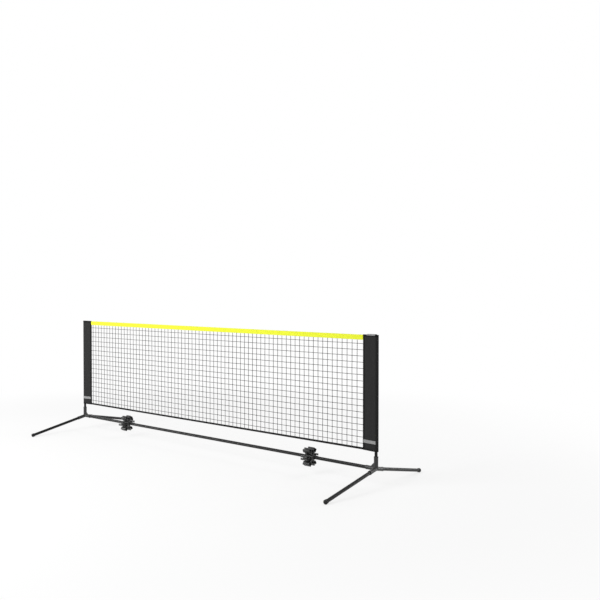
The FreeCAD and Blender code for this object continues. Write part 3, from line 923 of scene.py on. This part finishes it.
def tabPlace(u, v):                               # up the front, over the top and down the back
    along = topTab["start"] + u * (topTab["end"] - topTab["start"])
    facing = 1 - 2 * v
    over = topTab["over"]
    turn = min(1.0, abs(facing) / over)
    crown = 0.85 + 0.15 * math.sin(math.pi * u)
    rise = topTab["rise"] * math.sqrt(max(0.0, 1 - turn ** 2)) * crown
    down = topTab["drop"] * max(0.0, abs(facing) - over) / (1 - over)
    half = sleeveHalf(along) + topTab["lift"]
    depth = half * math.sin(turn * math.pi / 2) * math.copysign(1, -facing)
    return Vector((net["postX"] + along, depth, net["top"] - 0.0015 + rise - down))


for side, sideName in ((-1, "left"), (1, "right")):
    makeSleeve(side, sideName)
tab = piece(shapedGrid(30, 24, tabPlace, topTab["flat"]), "right_sleeve_tab", "patch",
            "left_raised")
thicken(tab, topTab["thickness"])


print("stage 8: stage and light")


def makeStage():
    bm = bmesh.new()
    bmesh.ops.create_circle(bm, cap_ends=True, segments=64, radius=30.0)
    mesh = bpy.data.meshes.new("studioFloor")
    bm.to_mesh(mesh)
    bm.free()
    floor = bpy.data.objects.new("studioFloor", mesh)
    bpy.context.scene.collection.objects.link(floor)
    finish = Finish("studioFloor")
    mesh.materials.append(finish.material)
    finish.shader.inputs["Base Color"].default_value = grey(0.96)
    finish.shader.inputs["Roughness"].default_value = 0.9
    finish.shader.inputs["Specular IOR Level"].default_value = 0.0
    where = finish.place()
    across = finish.axis(where, "X")
    deep = finish.axis(where, "Y")
    distance = finish.node("ShaderNodeMath", {"operation": "SQRT"},
                           {0: across * across + deep * deep})
    light = finish.node("ShaderNodeLightPath")
    seen = (light.of("Is Camera Ray") + light.of("Is Glossy Ray")
            + light.of("Is Transmission Ray")).clamped()
    bright = finish.node("ShaderNodeEmission", None, {"Color": grey(1.0), "Strength": 1.0})
    surface = Signal(finish, finish.shader.outputs[0])
    mixed = finish.node("ShaderNodeMixShader", None,
                        {0: seen * (0.75 + 0.25 * distance.span(2.2, 4.2)), 1: surface, 2: bright})
    finish.tree.links.new(mixed.socket, finish.tree.nodes["Material Output"].inputs["Surface"])

    world = bpy.data.worlds.new("studio")
    bpy.context.scene.world = world
    world.use_nodes = True
    sky = Finish("studio", world.node_tree)
    light = sky.node("ShaderNodeLightPath")
    seen = (light.of("Is Camera Ray") + light.of("Is Glossy Ray")
            + light.of("Is Transmission Ray")).clamped()
    plain = sky.node("ShaderNodeBackground", None, {"Color": grey(1.0), "Strength": 0.45})
    white = sky.node("ShaderNodeBackground", None, {"Color": grey(1.0), "Strength": 1.0})
    mixed = sky.node("ShaderNodeMixShader", None, {0: seen, 1: plain, 2: white})
    sky.tree.links.new(mixed.socket, sky.tree.nodes["World Output"].inputs["Surface"])

    def softbox(name, place, aim, size, power):
        data = bpy.data.lights.new(name, "AREA")
        data.shape = "RECTANGLE"
        data.size, data.size_y = size
        data.energy = power
        lamp = bpy.data.objects.new(name, data)
        lamp.location = place
        direction = Vector(aim) - Vector(place)
        lamp.rotation_euler = direction.to_track_quat("-Z", "Y").to_euler()
        bpy.context.scene.collection.objects.link(lamp)

    softbox("keyLight", (-0.9, -4.3, 3.7), (0, 0, 0.4), (3.0, 2.4), 165)
    softbox("frontStrip", (-3.4, -3.3, 0.75), (0, 0, 0.2), (3.0, 0.5), 66)
    softbox("sideStrip", (4.0, 3.7, 0.8), (1.5, 0, 0.1), (1.6, 0.45), 30)
    softbox("backLight", (1.0, 4.5, 4.0), (0, 0, 0.4), (4.0, 2.0), 80)


makeStage()
bpy.context.scene.view_settings.view_transform = "Standard"
